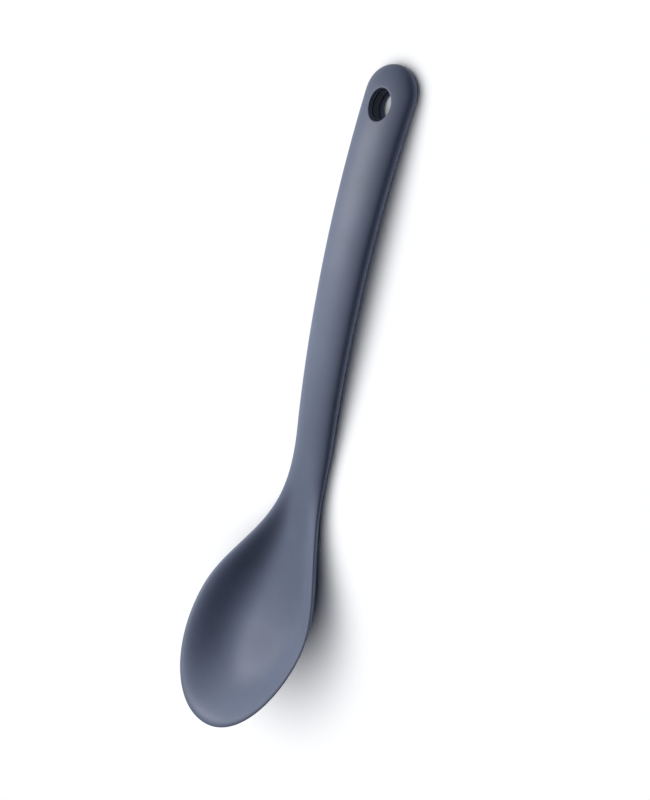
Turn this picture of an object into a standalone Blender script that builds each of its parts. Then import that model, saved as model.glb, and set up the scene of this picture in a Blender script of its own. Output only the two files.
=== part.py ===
"""Silicone serving spoon: one silicone skin moulded over a stiff core, lying bowl down.

Metres, +Z up. +Y runs from the bowl's tip to the handle's end and +X is the spoon's right.
The origin is under the middle of the spoon, on the surface that the spoon lies on.

A place on the spoon is a station, measured along its spine from the bowl's tip, and an offset
to the right of the spine. The middle sheet passes through every such place, halfway between
the front and the back of the spoon. Each piece is a sheet of its own thickness laid on it.
"""
from math import cos, exp, log, pi, radians, sin, sqrt

import bmesh
import bpy
from mathutils import Matrix, Vector

# Plan of the spoon, along and across its spine
LENGTH = 0.300
BOWL_HALF_WIDTH = 0.0331
BOWL_WIDEST_AT = 0.0475
BOWL_TIP_FULLNESS = 1.96
BOWL_SIDE_FULLNESS = 2.07
SHOULDER_FULLNESS = 5.7
NECK_AT = 0.148
NECK_HALF_WIDTH = 0.0106
END_HALF_WIDTH = 0.0128
NOSE_LENGTH = 0.0126

# Lean of the spine against the level neck, in degrees up towards the handle's end
TIP_LEAN = -26.0
STEEPEST_AT = 0.045
STEEPEST_LEAN = -30.8
SHOULDER_AT = 0.088
SHOULDER_LEAN = -21.8
LEVEL_AT = 0.140
BOW_FROM_END = 0.085
BOW_LEAN = -6.9
END_LEAN = -16.6
SPINE_STEPS = 300

# Hollow of the bowl, under the line of its rim
BOWL_DEPTH = 0.0176
BOWL_BOTTOM_FLATNESS = 2.04
RIM_FLARE = 2.12
HOLLOW_ENDS_AT = 0.1285
HOLLOW_RUNOUT = 2.55

# Half thickness of the spoon, to the front and to the back of its middle sheet
BOWL_HALF_WALL = 0.0020
LIP_HALF_WALL = 0.0008
LIP_TAPER = 4
NECK_HALF_THICKNESS = 0.0044
END_HALF_THICKNESS = 0.0054
FRONT_SWELLS_FROM = 0.088
FRONT_SWELLS_TO = 0.150
BACK_SWELLS_FROM = 0.082
BACK_SWELLS_TO = 0.138

# How square the edge of a cross section is: 2 is an ellipse
RIM_SQUARENESS = 28.0
HANDLE_SQUARENESS = 2.1
FRONT_ROUNDS_FROM = 0.084
FRONT_ROUNDS_TO = 0.138
BACK_ROUNDS_FROM = 0.070
BACK_ROUNDS_TO = 0.116

# Core inside the silicone
FIT_GAP = 0.0003
CORE_HALF_BOWL = 0.0006
CORE_HALF_HANDLE = 0.0017
CORE_THICKENS_FROM = 0.078
CORE_THICKENS_TO = 0.130
CORE_SQUARENESS = 6.0
RIM_MARGIN = 0.0062
HANDLE_MARGIN = 0.0024
MARGIN_NARROWS_FROM = 0.070
MARGIN_NARROWS_TO = 0.115

# Bond holes, where the silicone runs through the core
BOND_RADIUS = 0.0021
HANDLE_BONDS = 5
HANDLE_BONDS_FROM = 0.132
BOND_TO_HOLE = 0.031
BOWL_BONDS = 5
BOWL_BOND_CIRCLE = 0.0145
BOND_SIDES = 16

# Hanging hole through the handle's end
HOLE_FROM_END = 0.0169
HOLE_HALF_WIDTH = 0.0055
HOLE_HALF_LENGTH = 0.00655
HOLE_MOUTH_ROUND = 0.0005
EYE_STEP = 0.0003
HOLE_SIDES = 28
MOUTH_STEPS = 4

# Flats that the spoon rests on
REST_FLAT_CUT = 0.0005
FLAT_TOLERANCE = 0.000001

# Fineness of the sheets
TIP_RIBS = 12
BODY_RIBS = 28
NOSE_RIBS = 8
SKIN_POINTS = (0.0, 0.2, 0.4, 0.58, 0.73, 0.85, 0.93, 0.975, 1.0)
CORE_POINTS = (0.0, 0.35, 0.65, 0.85, 0.96, 1.0)
FAN_SPREAD = 2.3
SLOPE_STEP = 0.0001

HOLE_AT = LENGTH - HOLE_FROM_END
NOSE_AT = LENGTH - NOSE_LENGTH
SPINE_LEAN = (
    (0.0, TIP_LEAN),
    (STEEPEST_AT, STEEPEST_LEAN),
    (SHOULDER_AT, SHOULDER_LEAN),
    (LEVEL_AT, 0.0),
    (LENGTH - BOW_FROM_END, BOW_LEAN),
    (LENGTH, END_LEAN),
)

SILICONE = (0.128, 0.152, 0.222)
CORE_NYLON = (0.092, 0.106, 0.137)


def clear_scene():
    for item in list(bpy.data.objects):
        bpy.data.objects.remove(item, do_unlink=True)


def ease(value, start, end):
    """Rises smoothly from 0 at the start to 1 at the end."""
    part = min(max((value - start) / (end - start), 0.0), 1.0)
    return part * part * (3.0 - 2.0 * part)


def mix(low, high, part):
    return low + (high - low) * part


def lean_at(station):
    for (start, lean), (end, next_lean) in zip(SPINE_LEAN, SPINE_LEAN[1:]):
        if station <= end:
            return radians(mix(lean, next_lean, (station - start) / (end - start)))
    return radians(SPINE_LEAN[-1][1])


def walk_spine():
    """Points of the spine in side view, one step apart."""
    points = [Vector((0.0, 0.0, 0.0))]
    for i in range(SPINE_STEPS):
        lean = lean_at(LENGTH * (i + 0.5) / SPINE_STEPS)
        step = Vector((0.0, cos(lean), sin(lean))) * LENGTH / SPINE_STEPS
        points.append(points[-1] + step)
    return points


SPINE = walk_spine()


def spine_at(station):
    place = min(max(station / LENGTH, 0.0), 1.0) * SPINE_STEPS
    index = min(int(place), SPINE_STEPS - 1)
    return SPINE[index].lerp(SPINE[index + 1], place - index)


def handle_half_width(station):
    taper = (station - NECK_AT) / (NOSE_AT - NECK_AT)
    return mix(NECK_HALF_WIDTH, END_HALF_WIDTH, taper)


def half_width(station):
    if station < BOWL_WIDEST_AT:
        forward = ((BOWL_WIDEST_AT - station) / BOWL_WIDEST_AT) ** BOWL_TIP_FULLNESS
        return BOWL_HALF_WIDTH * max(1.0 - forward, 0.0) ** (1.0 / BOWL_SIDE_FULLNESS)
    back = min((station - BOWL_WIDEST_AT) / (NECK_AT - BOWL_WIDEST_AT), 1.0)
    spread = BOWL_HALF_WIDTH - handle_half_width(BOWL_WIDEST_AT)
    width = handle_half_width(station) + spread * (1.0 - back * back) ** SHOULDER_FULLNESS
    nose = max(station - NOSE_AT, 0.0) / NOSE_LENGTH
    return width * sqrt(max(1.0 - nose * nose, 0.0))


def hollow_depth(station, offset):
    """How far the middle sheet lies under the rim line."""
    if station >= HOLLOW_ENDS_AT:
        return 0.0
    if station < BOWL_WIDEST_AT:
        forward = ((BOWL_WIDEST_AT - station) / BOWL_WIDEST_AT) ** BOWL_TIP_FULLNESS
        reach = forward + abs(offset / BOWL_HALF_WIDTH) ** BOWL_SIDE_FULLNESS
        fade = 1.0
    else:
        back = (station - BOWL_WIDEST_AT) / (HOLLOW_ENDS_AT - BOWL_WIDEST_AT)
        reach = abs(offset / half_width(station)) ** BOWL_SIDE_FULLNESS
        fade = (1.0 - back * back) ** HOLLOW_RUNOUT
    reach = min(reach, 1.0)
    return BOWL_DEPTH * fade * (1.0 - reach ** BOWL_BOTTOM_FLATNESS) ** RIM_FLARE


def middle(station, offset):
    lean = lean_at(min(max(station, 0.0), LENGTH))
    up = Vector((0.0, -sin(lean), cos(lean)))
    return spine_at(station) + Vector((offset, 0.0, 0.0)) - hollow_depth(station, offset) * up


def front_normal(station, offset):
    along = middle(station + SLOPE_STEP, offset) - middle(station - SLOPE_STEP, offset)
    across = middle(station, offset + SLOPE_STEP) - middle(station, offset - SLOPE_STEP)
    return across.cross(along).normalized()


def skin_half(station, reach, swelling, rounding):
    """Half thickness of the whole spoon, where reach is 0 on the spine and 1 at the edge."""
    wall = mix(BOWL_HALF_WALL, LIP_HALF_WALL, reach ** LIP_TAPER)
    taper = (station - NECK_AT) / (LENGTH - NECK_AT)
    full = mix(wall, mix(NECK_HALF_THICKNESS, END_HALF_THICKNESS, taper), swelling)
    squareness = exp(mix(log(RIM_SQUARENESS), log(HANDLE_SQUARENESS), rounding))
    return full * sqrt(max(1.0 - reach ** squareness, 0.0))


def skin_front(station, reach):
    swelling = ease(station, FRONT_SWELLS_FROM, FRONT_SWELLS_TO)
    rounding = ease(station, FRONT_ROUNDS_FROM, FRONT_ROUNDS_TO)
    return skin_half(station, reach, swelling, rounding)


def skin_back(station, reach):
    swelling = ease(station, BACK_SWELLS_FROM, BACK_SWELLS_TO)
    rounding = ease(station, BACK_ROUNDS_FROM, BACK_ROUNDS_TO)
    return skin_half(station, reach, swelling, rounding)


def core_half(station, reach, gap):
    thickening = ease(station, CORE_THICKENS_FROM, CORE_THICKENS_TO)
    full = mix(CORE_HALF_BOWL, CORE_HALF_HANDLE, thickening) + gap
    return full * sqrt(max(1.0 - reach ** CORE_SQUARENESS, 0.0))


def core_margin(station, gap):
    narrowing = ease(station, MARGIN_NARROWS_FROM, MARGIN_NARROWS_TO)
    return mix(RIM_MARGIN, HANDLE_MARGIN, narrowing) - gap


def edge_stations():
    """Stations along the outline: close together round the tip and the nose."""
    tip = [BOWL_WIDEST_AT * (1.0 - cos(pi / 2 * i / TIP_RIBS)) for i in range(TIP_RIBS)]
    body = [mix(BOWL_WIDEST_AT, NOSE_AT, i / BODY_RIBS) for i in range(BODY_RIBS)]
    nose = [NOSE_AT + NOSE_LENGTH * sin(pi / 2 * i / NOSE_RIBS) for i in range(NOSE_RIBS)]
    return tip + body + nose + [LENGTH]


def root_station(station):
    """Where the rib that ends at this station of the outline starts on the spine."""
    tip_fan = max(1.0 - station / (FAN_SPREAD * BOWL_WIDEST_AT), 0.0)
    nose_fan = max(1.0 - (LENGTH - station) / (FAN_SPREAD * NOSE_LENGTH), 0.0)
    return station + BOWL_WIDEST_AT * tip_fan ** 2 - NOSE_LENGTH * nose_fan ** 2


def make_sheet(name, points, front, back, margin):
    """Closed piece on the middle sheet, from its half thicknesses and its edge margin."""
    mesh = bmesh.new()
    stations = edge_stations()
    last = len(stations) - 1
    rim = len(points) - 1
    made = {}

    def corner(face, rib, side, point):
        side = 0 if point == 0 or rib in (0, last) else side
        face = 0 if point == rim else face
        key = (face, rib, side, point)
        if key not in made:
            root = root_station(stations[rib])
            run = Vector((stations[rib] - root, half_width(stations[rib])))
            run *= 1.0 - margin(stations[rib]) / run.length
            reach = points[point]
            station = root + run.x * reach
            offset = run.y * reach * side
            half = front(station, reach) if face > 0 else back(station, reach)
            place = middle(station, offset) + face * half * front_normal(station, offset)
            made[key] = mesh.verts.new(place)
        return made[key]

    for face in (1, -1):
        for side in (1, -1):
            for rib in range(last):
                for point in range(rim):
                    quad = (
                        corner(face, rib, side, point),
                        corner(face, rib, side, point + 1),
                        corner(face, rib + 1, side, point + 1),
                        corner(face, rib + 1, side, point),
                    )
                    corners = list(dict.fromkeys(quad))
                    mesh.faces.new(corners if face * side > 0 else corners[::-1])
    bmesh.ops.recalc_face_normals(mesh, faces=mesh.faces)
    return finish_mesh(name, mesh)


def finish_mesh(name, mesh):
    data = bpy.data.meshes.new(name)
    mesh.to_mesh(data)
    mesh.free()
    data.shade_smooth()
    data.set_sharp_from_angle(angle=radians(35))
    item = bpy.data.objects.new(name, data)
    bpy.context.scene.collection.objects.link(item)
    return item


def place_frame(station, offset):
    """Frame on the middle sheet with its Z along the front normal and its Y along the spoon."""
    normal = front_normal(station, offset)
    across = Vector((1.0, 0.0, 0.0))
    along = normal.cross(across).normalized()
    across = along.cross(normal)
    turn = Matrix((across, along, normal)).transposed().to_4x4()
    return Matrix.Translation(middle(station, offset)) @ turn


def bond_places():
    last = HOLE_AT - BOND_TO_HOLE
    handle = [i / (HANDLE_BONDS - 1) for i in range(HANDLE_BONDS)]
    places = [(mix(HANDLE_BONDS_FROM, last, part), 0.0) for part in handle]
    for i in range(BOWL_BONDS):
        turn = 2 * pi * i / BOWL_BONDS
        station = BOWL_WIDEST_AT + BOWL_BOND_CIRCLE * cos(turn)
        places.append((station, BOWL_BOND_CIRCLE * sin(turn)))
    return places


def make_bond_cutter(name, radius):
    mesh = bmesh.new()
    for station, offset in bond_places():
        bmesh.ops.create_cone(
            mesh,
            cap_ends=True,
            segments=BOND_SIDES,
            radius1=radius,
            radius2=radius,
            depth=2 * NECK_HALF_THICKNESS,
            matrix=place_frame(station, offset),
        )
    return finish_mesh(name, mesh)


def make_hole_cutter(name, grow, mouth_round):
    """Oval prism through the handle's end that flares where it leaves the handle."""
    mesh = bmesh.new()
    frame = place_frame(HOLE_AT, 0.0)
    flare_starts = END_HALF_THICKNESS - mouth_round
    levels = [(0.0, 0.0)]
    for i in range(MOUTH_STEPS + 1):
        turn = pi / 2 * i / (MOUTH_STEPS + 1)
        levels.append((flare_starts + mouth_round * sin(turn), mouth_round * (1.0 - cos(turn))))
    levels.append((2 * END_HALF_THICKNESS, levels[-1][1]))
    levels = [(-height, flare) for height, flare in reversed(levels[1:])] + levels
    rings = []
    for height, flare in levels:
        ring = []
        for i in range(HOLE_SIDES):
            turn = 2 * pi * i / HOLE_SIDES
            x = (HOLE_HALF_WIDTH + grow + flare) * cos(turn)
            y = (HOLE_HALF_LENGTH + grow + flare) * sin(turn)
            ring.append(mesh.verts.new(frame @ Vector((x, y, height))))
        rings.append(ring)
    for lower, upper in zip(rings, rings[1:]):
        for i in range(HOLE_SIDES):
            j = (i + 1) % HOLE_SIDES
            mesh.faces.new((lower[i], lower[j], upper[j], upper[i]))
    mesh.faces.new(rings[0][::-1])
    mesh.faces.new(rings[-1])
    bmesh.ops.recalc_face_normals(mesh, faces=mesh.faces)
    return finish_mesh(name, mesh)


def cut_flats(item, rest):
    """Take off what lies under the table's plane, which leaves the flats that the spoon rests on."""
    to_rest = Matrix.Translation(rest.location) @ rest.rotation_euler.to_matrix().to_4x4()
    from_table = to_rest.inverted()
    mesh = bmesh.new()
    mesh.from_mesh(item.data)
    bmesh.ops.bisect_plane(
        mesh,
        geom=mesh.verts[:] + mesh.edges[:] + mesh.faces[:],
        dist=FLAT_TOLERANCE,
        plane_co=from_table.translation,
        plane_no=from_table.to_3x3() @ Vector((0.0, 0.0, 1.0)),
        clear_inner=True,
    )
    bmesh.ops.holes_fill(mesh, edges=[edge for edge in mesh.edges if edge.is_boundary], sides=0)
    bmesh.ops.recalc_face_normals(mesh, faces=mesh.faces)
    mesh.to_mesh(item.data)
    mesh.free()
    item.data.set_sharp_from_angle(angle=radians(35))


def subtract(item, cutter):
    cut = item.modifiers.new(cutter.name, "BOOLEAN")
    cut.operation = "DIFFERENCE"
    cut.solver = "EXACT"
    cut.object = cutter
    cutter.hide_render = True
    cutter.display_type = "WIRE"


def give_material(item, colour, roughness):
    material = bpy.data.materials.new(item.name)
    material.use_nodes = True
    shader = material.node_tree.nodes["Principled BSDF"]
    shader.inputs["Base Color"].default_value = (*colour, 1.0)
    shader.inputs["Roughness"].default_value = roughness
    shader.inputs["Metallic"].default_value = 0.0
    item.data.materials.append(material)


def lowest(points, pitch):
    return min(point.y * sin(pitch) + point.z * cos(pitch) for point in points)


def resting_place(item):
    """Empty that pitches the spoon until its bowl and its handle's end meet the table."""
    points = [vertex.co for vertex in item.data.vertices]
    split = spine_at(NECK_AT).y
    bowl = [point for point in points if point.y < split]
    handle = [point for point in points if point.y >= split]
    low, high = -pi / 4, pi / 4
    for _ in range(50):
        pitch = (low + high) / 2
        if lowest(bowl, pitch) > lowest(handle, pitch):
            low = pitch
        else:
            high = pitch
    along = [point.y * cos(pitch) - point.z * sin(pitch) for point in points]
    rest = bpy.data.objects.new("rest", None)
    bpy.context.scene.collection.objects.link(rest)
    rest.rotation_euler.x = pitch
    rest.location.y = -(min(along) + max(along)) / 2
    rest.location.z = -lowest(points, pitch) - REST_FLAT_CUT
    return rest


def build():
    clear_scene()
    skin = make_sheet("silicone_skin", SKIN_POINTS, skin_front, skin_back, lambda station: 0.0)
    cavity = make_sheet(
        "core_cavity",
        CORE_POINTS,
        lambda station, reach: core_half(station, reach, FIT_GAP),
        lambda station, reach: core_half(station, reach, FIT_GAP),
        lambda station: core_margin(station, FIT_GAP),
    )
    core = make_sheet(
        "stiffening_core",
        CORE_POINTS,
        lambda station, reach: core_half(station, reach, 0.0),
        lambda station, reach: core_half(station, reach, 0.0),
        lambda station: core_margin(station, 0.0),
    )
    pillars = make_bond_cutter("bond_pillars", BOND_RADIUS)
    bond_holes = make_bond_cutter("bond_holes", BOND_RADIUS + FIT_GAP)
    hanging_hole = make_hole_cutter("hanging_hole", 0.0, HOLE_MOUTH_ROUND)
    eye_hole = make_hole_cutter("eye_hole", EYE_STEP, HOLE_MOUTH_ROUND)

    rest = resting_place(skin)
    cut_flats(skin, rest)
    for item in (skin, cavity, core, pillars, bond_holes, hanging_hole, eye_hole):
        item.parent = rest

    subtract(cavity, pillars)
    subtract(skin, cavity)
    subtract(skin, hanging_hole)
    subtract(core, bond_holes)
    subtract(core, eye_hole)

    give_material(skin, SILICONE, 0.5)
    give_material(core, CORE_NYLON, 0.6)


build()
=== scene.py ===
"""Silicone serving spoon: the looks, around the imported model.

Metres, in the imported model's frame: +Y runs to the handle's end, +X is the spoon's right.
A place on the spoon is a station along its spine from the bowl's tip and an offset to the right.
"""
from math import cos, exp, log, pi, radians, sin, sqrt

import bmesh
import bpy
from mathutils import Euler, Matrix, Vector


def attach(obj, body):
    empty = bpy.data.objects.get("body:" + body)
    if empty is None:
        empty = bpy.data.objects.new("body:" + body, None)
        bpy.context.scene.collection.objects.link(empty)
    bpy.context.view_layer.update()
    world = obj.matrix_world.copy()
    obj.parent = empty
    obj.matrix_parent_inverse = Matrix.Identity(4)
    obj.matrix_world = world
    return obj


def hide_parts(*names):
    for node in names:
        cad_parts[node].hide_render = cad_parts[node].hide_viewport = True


# Plan of the spoon, along and across its spine
LENGTH = 0.300
BOWL_HALF_WIDTH = 0.0331
BOWL_WIDEST_AT = 0.0475
BOWL_TIP_FULLNESS = 1.96
BOWL_SIDE_FULLNESS = 2.07
SHOULDER_FULLNESS = 5.7
NECK_AT = 0.148
NECK_HALF_WIDTH = 0.0106
END_HALF_WIDTH = 0.0128
NOSE_LENGTH = 0.0126

# Lean of the spine against the level neck, in degrees up towards the handle's end
TIP_LEAN = -26.0
STEEPEST_AT = 0.045
STEEPEST_LEAN = -30.8
SHOULDER_AT = 0.088
SHOULDER_LEAN = -21.8
LEVEL_AT = 0.140
BOW_FROM_END = 0.085
BOW_LEAN = -6.9
END_LEAN = -16.6
SPINE_STEPS = 300

# Hollow of the bowl, under the line of its rim
BOWL_DEPTH = 0.0176
BOWL_BOTTOM_FLATNESS = 2.04
RIM_FLARE = 2.12
HOLLOW_ENDS_AT = 0.1285
HOLLOW_RUNOUT = 2.55

# Half thickness of the spoon, to the front and to the back of its middle sheet
BOWL_HALF_WALL = 0.0020
LIP_HALF_WALL = 0.0008
LIP_TAPER = 4
NECK_HALF_THICKNESS = 0.0044
END_HALF_THICKNESS = 0.0054
FRONT_SWELLS_FROM = 0.088
FRONT_SWELLS_TO = 0.150
BACK_SWELLS_FROM = 0.082
BACK_SWELLS_TO = 0.138

# How square the edge of a cross section is: 2 is an ellipse
RIM_SQUARENESS = 28.0
HANDLE_SQUARENESS = 2.1
FRONT_ROUNDS_FROM = 0.084
FRONT_ROUNDS_TO = 0.138
BACK_ROUNDS_FROM = 0.070
BACK_ROUNDS_TO = 0.116

# Space inside the silicone for the core
FIT_GAP = 0.0003
CORE_HALF_BOWL = 0.0006
CORE_HALF_HANDLE = 0.0017
CORE_THICKENS_FROM = 0.078
CORE_THICKENS_TO = 0.130
CORE_SQUARENESS = 6.0
RIM_MARGIN = 0.0062
HANDLE_MARGIN = 0.0024
MARGIN_NARROWS_FROM = 0.070
MARGIN_NARROWS_TO = 0.115

# Hanging hole
HOLE_FROM_END = 0.0169
HOLE_HALF_WIDTH = 0.0055
HOLE_HALF_LENGTH = 0.00655
HOLE_MOUTH_ROUND = 0.0005
SLOT_LIP_ROUND = 0.0002
SLOT_LIP_STEPS = 2
MOUTH_LOOPS = 4

# Flats that the spoon rests on, and the mould's parting line round its edge
REST_FLAT_CUT = 0.0005
REST_PITCH_LIMIT = pi / 4
REST_HALVINGS = 50
PARTING_HALF_WIDTH = 0.00012
PARTING_PROUD = 0.00006

# Fineness of the skin
TIP_RIBS = 22
BODY_RIBS = 50
HOLE_RIBS = 24
HOLE_RIBS_LEAD = 0.0025
HOLE_FAN = 0.020
SKIN_LOOPS = 16
LINING_LOOPS = 7
FAN_SPREAD = 2.3
SLOPE_STEP = 0.0001
WELD = 0.000001

# Colours and surface of the silicone and of the core, each between two close values
SILICONE_DARK = (0.121, 0.144, 0.211)
SILICONE_LIGHT = (0.135, 0.160, 0.232)
SILICONE_ROUGHNESS = (0.47, 0.55)
SILICONE_SHEEN = 0.05
SILICONE_GRAIN = 0.12
CORE_DARK = (0.085, 0.098, 0.128)
CORE_LIGHT = (0.100, 0.114, 0.146)
CORE_ROUGHNESS = (0.50, 0.62)
CORE_GRAIN = 0.20
GRAIN_HEIGHT = 0.0004
REFRACTION = 1.42
SPECULAR_LEVEL = 0.3
SHEEN_ROUGHNESS = 0.5

# Each noise of the moulded surface: name, scale in waves a metre, detail and roughness
SURFACE_NOISES = (
    ("Grain", 2600.0, 3.0, 0.55),
    ("Mottle", 55.0, 4.0, 0.60),
    ("Mark", 16.0, 5.0, 0.65),
)
NOISE_LOW = 0.3
NOISE_HIGH = 0.7

# Floor, and the world with its low white band, whose height is the rise of a ray that is one long
FLOOR_SIZE = 60.0
FLOOR_SEEN = (0.93, 0.93, 0.93, 1.0)
FLOOR_BOUNCE = (0.50, 0.53, 0.60, 1.0)
FILL_COLOUR = (0.50, 0.68, 1.0, 1.0)
FILL_STRENGTH = 0.055
BAND_COLOUR = (1.0, 1.0, 1.0, 1.0)
BAND_SOLID = 0.10
BAND_TOP = 0.16

# Lamps: the key lights the object, and the floor light lights the floor
KEY_COLOUR = (1.0, 0.985, 0.96)
KEY_POWER = 2.16
KEY_SIZE = 0.128
KEY_PLACE = (-0.240, 0.060, 0.304)
KEY_AIM = (0.0, -0.119, 0.010)
FLOOR_LIGHT_STRENGTH = 3.35
FLOOR_LIGHT_SPREAD = 82.0
FLOOR_LIGHT_FROM = (0.01, -0.16, 0.987)

# Camera, from the photograph's viewing angle
CAMERA_PLACE = (0.4013, 0.2234, 0.4530)
CAMERA_TURN = (-8.824, 44.933, 16.356)
CAMERA_NEAR = 0.01
SENSOR = 36.0
LENS = 67.8

HOLE_AT = LENGTH - HOLE_FROM_END
NOSE_AT = LENGTH - NOSE_LENGTH
HOLE_STARTS = HOLE_AT - HOLE_HALF_LENGTH
SPINE_LEAN = (
    (0.0, TIP_LEAN),
    (STEEPEST_AT, STEEPEST_LEAN),
    (SHOULDER_AT, SHOULDER_LEAN),
    (LEVEL_AT, 0.0),
    (LENGTH - BOW_FROM_END, BOW_LEAN),
    (LENGTH, END_LEAN),
)

# Tags of the four loops of edges round the hanging hole
FRONT_MOUTH = 1
BACK_MOUTH = 2
FRONT_SLOT = 3
BACK_SLOT = 4


# Shape of the spoon

def ease(value, start, end):
    """Rises smoothly from 0 at the start to 1 at the end."""
    part = min(max((value - start) / (end - start), 0.0), 1.0)
    return part * part * (3.0 - 2.0 * part)


def mix(low, high, part):
    return low + (high - low) * part


def lean_at(station):
    for (start, lean), (end, next_lean) in zip(SPINE_LEAN, SPINE_LEAN[1:]):
        if station <= end:
            return radians(mix(lean, next_lean, (station - start) / (end - start)))
    return radians(SPINE_LEAN[-1][1])


def walk_spine():
    """Points of the spine in side view, one step apart."""
    points = [Vector((0.0, 0.0, 0.0))]
    for i in range(SPINE_STEPS):
        lean = lean_at(LENGTH * (i + 0.5) / SPINE_STEPS)
        step = Vector((0.0, cos(lean), sin(lean))) * LENGTH / SPINE_STEPS
        points.append(points[-1] + step)
    return points


SPINE = walk_spine()


def spine_at(station):
    place = min(max(station / LENGTH, 0.0), 1.0) * SPINE_STEPS
    index = min(int(place), SPINE_STEPS - 1)
    return SPINE[index].lerp(SPINE[index + 1], place - index)


def handle_half_width(station):
    taper = (station - NECK_AT) / (NOSE_AT - NECK_AT)
    return mix(NECK_HALF_WIDTH, END_HALF_WIDTH, taper)


def forward_of_widest(station):
    part = max(BOWL_WIDEST_AT - station, 0.0) / BOWL_WIDEST_AT
    return part ** BOWL_TIP_FULLNESS


def half_width(station):
    if station < BOWL_WIDEST_AT:
        side = max(1.0 - forward_of_widest(station), 0.0)
        return BOWL_HALF_WIDTH * side ** (1.0 / BOWL_SIDE_FULLNESS)
    back = min((station - BOWL_WIDEST_AT) / (NECK_AT - BOWL_WIDEST_AT), 1.0)
    spread = BOWL_HALF_WIDTH - handle_half_width(BOWL_WIDEST_AT)
    width = handle_half_width(station) + spread * (1.0 - back * back) ** SHOULDER_FULLNESS
    nose = max(station - NOSE_AT, 0.0) / NOSE_LENGTH
    return width * sqrt(max(1.0 - nose * nose, 0.0))


def edge_reach(station, offset):
    """0 on the spine and 1 at the outline."""
    offset = abs(offset)
    if station < BOWL_WIDEST_AT:
        side = (offset / BOWL_HALF_WIDTH) ** BOWL_SIDE_FULLNESS
        return (forward_of_widest(station) + side) ** (1.0 / BOWL_SIDE_FULLNESS)
    if station < NOSE_AT:
        return offset / half_width(station)
    nose = (station - NOSE_AT) / NOSE_LENGTH
    side = offset / handle_half_width(station)
    return sqrt(nose * nose + side * side)


def hollow_depth(station, offset):
    """How far the middle sheet lies under the rim line."""
    if station >= HOLLOW_ENDS_AT:
        return 0.0
    back = max(station - BOWL_WIDEST_AT, 0.0) / (HOLLOW_ENDS_AT - BOWL_WIDEST_AT)
    fade = (1.0 - back * back) ** HOLLOW_RUNOUT
    reach = min(edge_reach(station, offset), 1.0)
    dish = reach ** (BOWL_SIDE_FULLNESS * BOWL_BOTTOM_FLATNESS)
    return BOWL_DEPTH * fade * (1.0 - dish) ** RIM_FLARE


def middle(station, offset):
    lean = lean_at(min(max(station, 0.0), LENGTH))
    up = Vector((0.0, -sin(lean), cos(lean)))
    return spine_at(station) + Vector((offset, 0.0, 0.0)) - hollow_depth(station, offset) * up


def front_normal(station, offset):
    along = middle(station + SLOPE_STEP, offset) - middle(station - SLOPE_STEP, offset)
    across = middle(station, offset + SLOPE_STEP) - middle(station, offset - SLOPE_STEP)
    return across.cross(along).normalized()


def skin_half(station, reach, swelling, rounding):
    """Half thickness of the whole spoon."""
    wall = mix(BOWL_HALF_WALL, LIP_HALF_WALL, reach ** LIP_TAPER)
    taper = (station - NECK_AT) / (LENGTH - NECK_AT)
    full = mix(wall, mix(NECK_HALF_THICKNESS, END_HALF_THICKNESS, taper), swelling)
    squareness = exp(mix(log(RIM_SQUARENESS), log(HANDLE_SQUARENESS), rounding))
    return full * sqrt(max(1.0 - reach ** squareness, 0.0))


def skin_front(station, reach):
    swelling = ease(station, FRONT_SWELLS_FROM, FRONT_SWELLS_TO)
    rounding = ease(station, FRONT_ROUNDS_FROM, FRONT_ROUNDS_TO)
    return skin_half(station, reach, swelling, rounding)


def skin_back(station, reach):
    swelling = ease(station, BACK_SWELLS_FROM, BACK_SWELLS_TO)
    rounding = ease(station, BACK_ROUNDS_FROM, BACK_ROUNDS_TO)
    return skin_half(station, reach, swelling, rounding)


def lining_half(station, reach):
    thickening = ease(station, CORE_THICKENS_FROM, CORE_THICKENS_TO)
    full = mix(CORE_HALF_BOWL, CORE_HALF_HANDLE, thickening) + FIT_GAP
    return full * sqrt(max(1.0 - reach ** CORE_SQUARENESS, 0.0))


def lining_margin(station):
    narrowing = ease(station, MARGIN_NARROWS_FROM, MARGIN_NARROWS_TO)
    return mix(RIM_MARGIN, HANDLE_MARGIN, narrowing) - FIT_GAP


# Ribs: each runs from the spine, or from the hanging hole, to the outline

def hole_edge(part, grow):
    """Point on the hanging hole's oval, from its end towards the bowl to its end towards the tip."""
    turn = pi * (1.0 - part)
    along = (HOLE_HALF_LENGTH + grow) * cos(turn)
    return Vector((HOLE_AT + along, (HOLE_HALF_WIDTH + grow) * sin(turn)))


def make_ribs(margin, hole_grow):
    """Start and end of each rib on the right side, as (station, offset)."""
    ribs = []
    body_ends = HOLE_STARTS - HOLE_RIBS_LEAD
    stations = [BOWL_WIDEST_AT * (1.0 - cos(pi / 2 * i / TIP_RIBS)) for i in range(TIP_RIBS)]
    stations += [mix(BOWL_WIDEST_AT, body_ends, i / BODY_RIBS) for i in range(BODY_RIBS)]
    for station in stations:
        tip_fan = max(1.0 - station / (FAN_SPREAD * BOWL_WIDEST_AT), 0.0)
        lead = HOLE_RIBS_LEAD * ease(station, body_ends - HOLE_FAN, body_ends)
        root = station + BOWL_WIDEST_AT * tip_fan ** 2 + lead
        ribs.append((Vector((root, 0.0)), Vector((station, half_width(station)))))
    for i in range(HOLE_RIBS + 1):
        part = i / HOLE_RIBS
        start = hole_edge(part, hole_grow)
        swing = part * (NOSE_AT - body_ends + pi / 2 * END_HALF_WIDTH)
        if swing < NOSE_AT - body_ends:
            end = Vector((body_ends + swing, half_width(body_ends + swing)))
        else:
            turn = (swing - (NOSE_AT - body_ends)) / END_HALF_WIDTH
            end = Vector((NOSE_AT + NOSE_LENGTH * sin(turn), END_HALF_WIDTH * cos(turn)))
        ribs.append((start, end))
    return [(start, end + (start - end).normalized() * margin(end.x)) for start, end in ribs]


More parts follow.
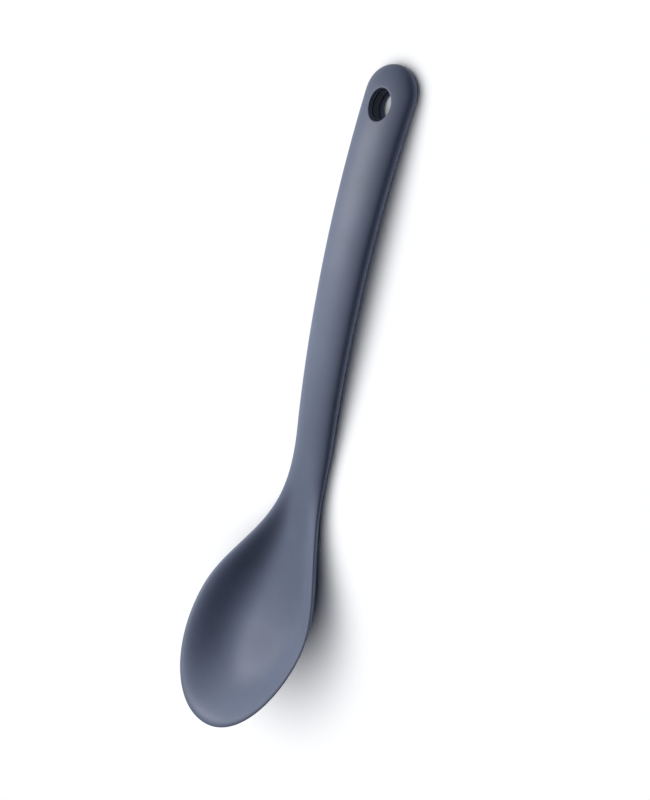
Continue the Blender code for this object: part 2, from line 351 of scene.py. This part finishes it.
def sheet_point(ribs, spoke, part, half, face):
    """Point of a sheet on one spoke, where part is 0 at the rib's start and 1 at its end."""
    last = len(ribs) - 1
    side = 1.0 if spoke <= last else -1.0
    start, end = ribs[spoke if spoke <= last else 2 * last - spoke]
    place = start.lerp(end, part)
    offset = place.y * side if spoke % last else 0.0
    height = half(place.x, offset, part)
    return middle(place.x, offset) + face * height * front_normal(place.x, offset)


# Modelling with Blender's operators

def start_loop(name, count):
    bpy.ops.object.select_all(action="DESELECT")
    bpy.ops.mesh.primitive_circle_add(vertices=count, radius=BOWL_HALF_WIDTH)
    piece = bpy.context.object
    piece.name = name
    piece.data.name = name
    bpy.ops.object.mode_set(mode="EDIT")
    mesh = bmesh.from_edit_mesh(piece.data)
    spokes = mesh.verts.layers.int.new("spoke")
    mesh.verts.layers.int.new("edge_tag")
    mesh.verts.ensure_lookup_table()
    for i, vertex in enumerate(mesh.verts):
        vertex[spokes] = i
    return piece


def place_loop(piece, ribs, part, half, face):
    """Puts the selected loop of vertices where the sheet has it."""
    mesh = bmesh.from_edit_mesh(piece.data)
    spokes = mesh.verts.layers.int["spoke"]
    for vertex in mesh.verts:
        if vertex.select:
            vertex.co = sheet_point(ribs, vertex[spokes], part, half, face)
    bmesh.update_edit_mesh(piece.data)


def tag_hole_edge(piece, tag):
    """Marks the selected vertices that lie on the hanging hole's edge."""
    mesh = bmesh.from_edit_mesh(piece.data)
    spokes = mesh.verts.layers.int["spoke"]
    tags = mesh.verts.layers.int["edge_tag"]
    last = TIP_RIBS + BODY_RIBS + HOLE_RIBS
    for vertex in mesh.verts:
        if vertex.select and abs(vertex[spokes] - last) <= HOLE_RIBS:
            vertex[tags] = tag
    bmesh.update_edit_mesh(piece.data)


def select_tagged(piece, *wanted):
    """Selects the edges whose two ends carry the same wanted tag."""
    bpy.ops.mesh.select_all(action="DESELECT")
    mesh = bmesh.from_edit_mesh(piece.data)
    tags = mesh.verts.layers.int["edge_tag"]
    for edge in mesh.edges:
        ends = [vertex[tags] for vertex in edge.verts]
        edge.select = ends[0] == ends[1] and ends[0] in wanted
    mesh.select_flush(True)
    bmesh.update_edit_mesh(piece.data)


def round_mouth(piece, tag, half, face):
    """Rolls the surface over into the wall of the hanging hole."""
    last = TIP_RIBS + BODY_RIBS + HOLE_RIBS
    for i in range(1, MOUTH_LOOPS + 1):
        turn = pi / 2 * i / MOUTH_LOOPS
        grow = HOLE_MOUTH_ROUND * (1.0 - sin(turn))
        drop = HOLE_MOUTH_ROUND * (1.0 - cos(turn))
        select_tagged(piece, tag)
        bpy.ops.mesh.extrude_edges_move()
        mesh = bmesh.from_edit_mesh(piece.data)
        spokes = mesh.verts.layers.int["spoke"]
        tags = mesh.verts.layers.int["edge_tag"]
        for vertex in mesh.verts:
            if vertex.select:
                turned = vertex[spokes] - (last - HOLE_RIBS)
                side = 1.0 if turned <= HOLE_RIBS else -1.0
                place = hole_edge(min(turned, 2 * HOLE_RIBS - turned) / HOLE_RIBS, grow)
                offset = place.y * side
                height = half(place.x, offset, 0.0) - drop
                normal = front_normal(place.x, offset)
                vertex.co = middle(place.x, offset) + face * height * normal
            elif vertex[tags] == tag:
                vertex[tags] = 0
        bmesh.update_edit_mesh(piece.data)


def select_first_loop(piece, count):
    bpy.ops.mesh.select_all(action="DESELECT")
    mesh = bmesh.from_edit_mesh(piece.data)
    mesh.verts.ensure_lookup_table()
    for vertex in mesh.verts[:count]:
        vertex.select = True
    mesh.select_flush(True)
    bmesh.update_edit_mesh(piece.data)


def model_sheet(name, ribs, loops, front, back, ridge, tags):
    """Closed sheet, open only at the hanging hole, extruded inwards loop by loop."""
    count = 2 * (len(ribs) - 1)
    piece = start_loop(name, count)
    place_loop(piece, ribs, 1.0, lambda station, offset, part: 0.0, 1)
    for face, half, tag in ((1, front, tags[0]), (-1, back, tags[1])):
        select_first_loop(piece, count)
        if ridge:
            bpy.ops.mesh.extrude_edges_move()
            foot = [(start, end + (start - end).normalized() * PARTING_PROUD) for start, end in ribs]
            place_loop(piece, foot, 1.0, lambda station, offset, part: PARTING_HALF_WIDTH, face)
        for i in range(1, loops + 1):
            part = max(cos(pi / 2 * i / loops), 0.0) ** (2.0 / HANDLE_SQUARENESS)
            bpy.ops.mesh.extrude_edges_move()
            place_loop(piece, ribs, part if i < loops else 0.0, half, face)
        tag_hole_edge(piece, tag)
    bpy.ops.mesh.select_all(action="SELECT")
    bpy.ops.mesh.remove_doubles(threshold=WELD)
    bpy.ops.mesh.normals_make_consistent(inside=False)
    bpy.ops.object.mode_set(mode="OBJECT")
    return piece


def apply_modifiers(piece):
    bpy.context.view_layer.objects.active = piece
    for modifier in list(piece.modifiers):
        bpy.ops.object.modifier_apply(modifier=modifier.name)


def lowest(points, pitch):
    return min(point.y * sin(pitch) + point.z * cos(pitch) for point in points)


def lay_down(piece):
    """Pitches the piece until its bowl and its handle's end meet the table, as the CAD lies."""
    points = [vertex.co.copy() for vertex in piece.data.vertices]
    split = spine_at(NECK_AT).y
    bowl = [point for point in points if point.y < split]
    handle = [point for point in points if point.y >= split]
    low, high = -REST_PITCH_LIMIT, REST_PITCH_LIMIT
    for _ in range(REST_HALVINGS):
        pitch = (low + high) / 2
        if lowest(bowl, pitch) > lowest(handle, pitch):
            low = pitch
        else:
            high = pitch
    along = [point.y * cos(pitch) - point.z * sin(pitch) for point in points]
    piece.rotation_euler.x = pitch
    piece.location.y = -(min(along) + max(along)) / 2
    piece.location.z = -lowest(points, pitch) - REST_FLAT_CUT
    bpy.ops.object.select_all(action="DESELECT")
    piece.select_set(True)
    bpy.context.view_layer.objects.active = piece
    bpy.ops.object.transform_apply(location=True, rotation=True, scale=True)


def press_flats(piece):
    """Flattens what lies under the table's plane, which makes the flats of the bowl and the end."""
    bpy.ops.object.mode_set(mode="EDIT")
    bpy.ops.mesh.select_all(action="DESELECT")
    mesh = bmesh.from_edit_mesh(piece.data)
    for vertex in mesh.verts:
        vertex.select = vertex.co.z < 0.0
    mesh.select_flush(True)
    bmesh.update_edit_mesh(piece.data)
    bpy.ops.transform.resize(value=(1.0, 1.0, 0.0), center_override=(0.0, 0.0, 0.0))
    bpy.ops.object.mode_set(mode="OBJECT")


def front_half(station, offset, part):
    return skin_front(station, min(edge_reach(station, offset), 1.0))


def back_half(station, offset, part):
    return skin_back(station, min(edge_reach(station, offset), 1.0))


def slot_half(station, offset, part):
    return lining_half(station, part)


def no_margin(station):
    return 0.0


def model_skin():
    skin_ribs = make_ribs(no_margin, HOLE_MOUTH_ROUND)
    lining_ribs = make_ribs(lining_margin, 0.0)
    mouths = (FRONT_MOUTH, BACK_MOUTH)
    slots = (FRONT_SLOT, BACK_SLOT)
    skin = model_sheet("silicone_spoon", skin_ribs, SKIN_LOOPS, front_half, back_half, True, mouths)
    lining = model_sheet("silicone_lining", lining_ribs, LINING_LOOPS, slot_half, slot_half, False, slots)
    bpy.ops.object.select_all(action="DESELECT")
    lining.select_set(True)
    skin.select_set(True)
    bpy.context.view_layer.objects.active = skin
    bpy.ops.object.join()

    bpy.ops.object.mode_set(mode="EDIT")
    round_mouth(skin, FRONT_MOUTH, front_half, 1)
    round_mouth(skin, BACK_MOUTH, back_half, -1)
    for mouth, slot in zip(mouths, slots):
        select_tagged(skin, mouth, slot)
        bpy.ops.mesh.bridge_edge_loops()
    bpy.ops.mesh.select_all(action="SELECT")
    bpy.ops.mesh.normals_make_consistent(inside=False)
    for slot in slots:
        select_tagged(skin, slot)
        bpy.ops.mesh.bevel(offset=SLOT_LIP_ROUND, segments=SLOT_LIP_STEPS, profile=0.5, affect="EDGES")
    bpy.ops.object.mode_set(mode="OBJECT")

    smooth = skin.modifiers.new("smooth", "SUBSURF")
    smooth.levels = 1
    smooth.render_levels = 1
    apply_modifiers(skin)
    lay_down(skin)
    press_flats(skin)
    bpy.ops.object.shade_smooth()
    return skin


# Finishes

def add_node(tree, kind, place, **inputs):
    node = tree.nodes.new(kind)
    node.location = place
    for name, value in inputs.items():
        node.inputs[name.replace("_", " ")].default_value = value
    return node


def moulded_surface_group():
    """Fine grain, slow mottle and handling marks that every moulded piece here has."""
    group = bpy.data.node_groups.new("moulded_surface", "ShaderNodeTree")
    for name, scale, detail, roughness in SURFACE_NOISES:
        socket = group.interface.new_socket(name + " Scale", in_out="INPUT", socket_type="NodeSocketFloat")
        socket.default_value = scale
        group.interface.new_socket(name, in_out="OUTPUT", socket_type="NodeSocketFloat")
    entry = group.nodes.new("NodeGroupInput")
    leave = group.nodes.new("NodeGroupOutput")
    place = group.nodes.new("ShaderNodeTexCoord")
    entry.location = (-700, -200)
    place.location = (-700, 200)
    leave.location = (300, 0)
    for row, (name, scale, detail, roughness) in enumerate(SURFACE_NOISES):
        noise = add_node(group, "ShaderNodeTexNoise", (-300, 300 - 250 * row))
        noise.inputs["Detail"].default_value = detail
        noise.inputs["Roughness"].default_value = roughness
        group.links.new(place.outputs["Object"], noise.inputs["Vector"])
        group.links.new(entry.outputs[name + " Scale"], noise.inputs["Scale"])
        group.links.new(noise.outputs["Fac"], leave.inputs[name])
    return group


def map_range(tree, source, low, high, place):
    """Spreads a noise value, which stays near one half, over the range from low to high."""
    node = add_node(tree, "ShaderNodeMapRange", place)
    node.inputs["From Min"].default_value = NOISE_LOW
    node.inputs["From Max"].default_value = NOISE_HIGH
    node.inputs["To Min"].default_value = low
    node.inputs["To Max"].default_value = high
    tree.links.new(source, node.inputs["Value"])
    return node.outputs["Result"]


def moulded_material(name, group, dark, light, roughness, grain, sheen):
    material = bpy.data.materials.new(name)
    material.use_nodes = True
    tree = material.node_tree
    shader = tree.nodes["Principled BSDF"]
    surface = tree.nodes.new("ShaderNodeGroup")
    surface.node_tree = group
    surface.location = (-900, 0)

    tone = tree.nodes.new("ShaderNodeMix")
    tone.data_type = "RGBA"
    tone.location = (-350, 250)
    tone.inputs["A"].default_value = (*dark, 1.0)
    tone.inputs["B"].default_value = (*light, 1.0)
    mottle = map_range(tree, surface.outputs["Mottle"], 0.0, 1.0, (-620, 250))
    tree.links.new(mottle, tone.inputs["Factor"])
    tree.links.new(tone.outputs["Result"], shader.inputs["Base Color"])

    marks = map_range(tree, surface.outputs["Mark"], roughness[0], roughness[1], (-620, 0))
    tree.links.new(marks, shader.inputs["Roughness"])

    relief = tree.nodes.new("ShaderNodeBump")
    relief.location = (-350, -250)
    relief.inputs["Strength"].default_value = grain
    relief.inputs["Distance"].default_value = GRAIN_HEIGHT
    tree.links.new(surface.outputs["Grain"], relief.inputs["Height"])
    tree.links.new(relief.outputs["Normal"], shader.inputs["Normal"])

    shader.inputs["Metallic"].default_value = 0.0
    shader.inputs["IOR"].default_value = REFRACTION
    shader.inputs["Specular IOR Level"].default_value = SPECULAR_LEVEL
    shader.inputs["Sheen Weight"].default_value = sheen
    shader.inputs["Sheen Roughness"].default_value = SHEEN_ROUGHNESS
    return material


def give_material(piece, material):
    piece.data.materials.clear()
    piece.data.materials.append(material)


# Stage

def add_background(tree, place):
    """Mask of the rays that see the background: from the camera, a reflection or a transmission."""
    rays = add_node(tree, "ShaderNodeLightPath", (place[0] - 550, place[1]))
    direct = add_node(tree, "ShaderNodeMath", (place[0] - 300, place[1]))
    direct.operation = "MAXIMUM"
    anyhow = add_node(tree, "ShaderNodeMath", place)
    anyhow.operation = "MAXIMUM"
    tree.links.new(rays.outputs["Is Camera Ray"], direct.inputs[0])
    tree.links.new(rays.outputs["Is Glossy Ray"], direct.inputs[1])
    tree.links.new(direct.outputs["Value"], anyhow.inputs[0])
    tree.links.new(rays.outputs["Is Transmission Ray"], anyhow.inputs[1])
    return anyhow.outputs["Value"]


def floor_material():
    """White where the camera or a reflection sees it, and grey for the light that it throws back."""
    material = bpy.data.materials.new("studio_floor")
    material.use_nodes = True
    tree = material.node_tree
    tree.nodes.clear()
    out = add_node(tree, "ShaderNodeOutputMaterial", (600, 0))
    mixer = add_node(tree, "ShaderNodeMixShader", (400, 0))
    seen = add_node(tree, "ShaderNodeBsdfDiffuse", (100, 150), Color=FLOOR_SEEN)
    bounce = add_node(tree, "ShaderNodeBsdfDiffuse", (100, -50), Color=FLOOR_BOUNCE)
    tree.links.new(add_background(tree, (100, 300)), mixer.inputs["Fac"])
    tree.links.new(bounce.outputs["BSDF"], mixer.inputs[1])
    tree.links.new(seen.outputs["BSDF"], mixer.inputs[2])
    tree.links.new(mixer.outputs["Shader"], out.inputs["Surface"])
    return material


def add_floor():
    bpy.ops.object.select_all(action="DESELECT")
    bpy.ops.mesh.primitive_plane_add(size=FLOOR_SIZE)
    floor = bpy.context.object
    floor.name = "studio_floor"
    give_material(floor, floor_material())
    return floor


def add_world():
    """Dim cool fill, with a low white band behind the floor's far edge."""
    world = bpy.data.worlds.new("studio")
    bpy.context.scene.world = world
    world.use_nodes = True
    tree = world.node_tree
    tree.nodes.clear()
    out = add_node(tree, "ShaderNodeOutputWorld", (500, 0))
    mixer = add_node(tree, "ShaderNodeMixShader", (300, 0))
    fill = add_node(tree, "ShaderNodeBackground", (50, 0), Color=FILL_COLOUR, Strength=FILL_STRENGTH)
    white = add_node(tree, "ShaderNodeBackground", (50, -150), Color=BAND_COLOUR, Strength=1.0)
    ray = add_node(tree, "ShaderNodeTexCoord", (-700, 300))
    parts = add_node(tree, "ShaderNodeSeparateXYZ", (-500, 300))
    band = add_node(tree, "ShaderNodeMapRange", (-300, 300))
    band.inputs["From Min"].default_value = BAND_TOP
    band.inputs["From Max"].default_value = BAND_SOLID
    both = add_node(tree, "ShaderNodeMath", (50, 200))
    both.operation = "MULTIPLY"
    tree.links.new(ray.outputs["Generated"], parts.inputs["Vector"])
    tree.links.new(parts.outputs["Z"], band.inputs["Value"])
    tree.links.new(band.outputs["Result"], both.inputs[0])
    tree.links.new(add_background(tree, (-150, -100)), both.inputs[1])
    tree.links.new(both.outputs["Value"], mixer.inputs["Fac"])
    tree.links.new(fill.outputs["Background"], mixer.inputs[1])
    tree.links.new(white.outputs["Background"], mixer.inputs[2])
    tree.links.new(mixer.outputs["Shader"], out.inputs["Surface"])


def add_key():
    """Soft square main light, at the left of the photograph and near the spoon."""
    lamp = bpy.data.lights.new("key", "AREA")
    lamp.shape = "SQUARE"
    lamp.size = KEY_SIZE
    lamp.energy = KEY_POWER
    lamp.color = KEY_COLOUR
    key = bpy.data.objects.new("key", lamp)
    bpy.context.scene.collection.objects.link(key)
    key.location = KEY_PLACE
    away = Vector(KEY_PLACE) - Vector(KEY_AIM)
    key.rotation_euler = away.to_track_quat("Z", "Y").to_euler()
    return key


def add_floor_light():
    """Even light for the floor, which sets the place and the softness of the object's shadow."""
    lamp = bpy.data.lights.new("floor_light", "SUN")
    lamp.energy = FLOOR_LIGHT_STRENGTH
    lamp.angle = radians(FLOOR_LIGHT_SPREAD)
    light = bpy.data.objects.new("floor_light", lamp)
    bpy.context.scene.collection.objects.link(light)
    light.rotation_euler = Vector(FLOOR_LIGHT_FROM).to_track_quat("Z", "Y").to_euler()
    return light


def link_floor(light, floor, state):
    """INCLUDE lights nothing but the floor, and EXCLUDE lights everything else."""
    linked = bpy.data.collections.new(light.name + "_link")
    linked.objects.link(floor)
    light.light_linking.receiver_collection = linked
    linked.collection_objects[0].light_linking.link_state = state


def add_camera():
    data = bpy.data.cameras.new("camera")
    data.sensor_width = SENSOR
    data.sensor_fit = "AUTO"
    data.lens = LENS
    data.clip_start = CAMERA_NEAR
    camera = bpy.data.objects.new("camera", data)
    bpy.context.scene.collection.objects.link(camera)
    camera.location = CAMERA_PLACE
    camera.rotation_euler = Euler([radians(turn) for turn in CAMERA_TURN])
    bpy.context.scene.camera = camera


# The scene

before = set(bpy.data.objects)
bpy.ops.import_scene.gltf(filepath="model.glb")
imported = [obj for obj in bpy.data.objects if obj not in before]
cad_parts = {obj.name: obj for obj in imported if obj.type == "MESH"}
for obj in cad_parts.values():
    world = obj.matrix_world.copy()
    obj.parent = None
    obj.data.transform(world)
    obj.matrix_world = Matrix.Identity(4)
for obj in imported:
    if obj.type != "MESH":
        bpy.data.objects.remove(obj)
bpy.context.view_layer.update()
add_camera()

moulded = moulded_surface_group()
silicone = moulded_material(
    "slate_silicone",
    moulded,
    dark=SILICONE_DARK,
    light=SILICONE_LIGHT,
    roughness=SILICONE_ROUGHNESS,
    grain=SILICONE_GRAIN,
    sheen=SILICONE_SHEEN,
)
nylon = moulded_material(
    "core_nylon",
    moulded,
    dark=CORE_DARK,
    light=CORE_LIGHT,
    roughness=CORE_ROUGHNESS,
    grain=CORE_GRAIN,
    sheen=0.0,
)

skin = model_skin()
give_material(skin, silicone)
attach(skin, "root")
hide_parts("silicone_skin")
give_material(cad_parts["stiffening_core"], nylon)

floor = add_floor()
add_world()
link_floor(add_key(), floor, "EXCLUDE")
link_floor(add_floor_light(), floor, "INCLUDE")
bpy.context.scene.view_settings.view_transform = "Standard"
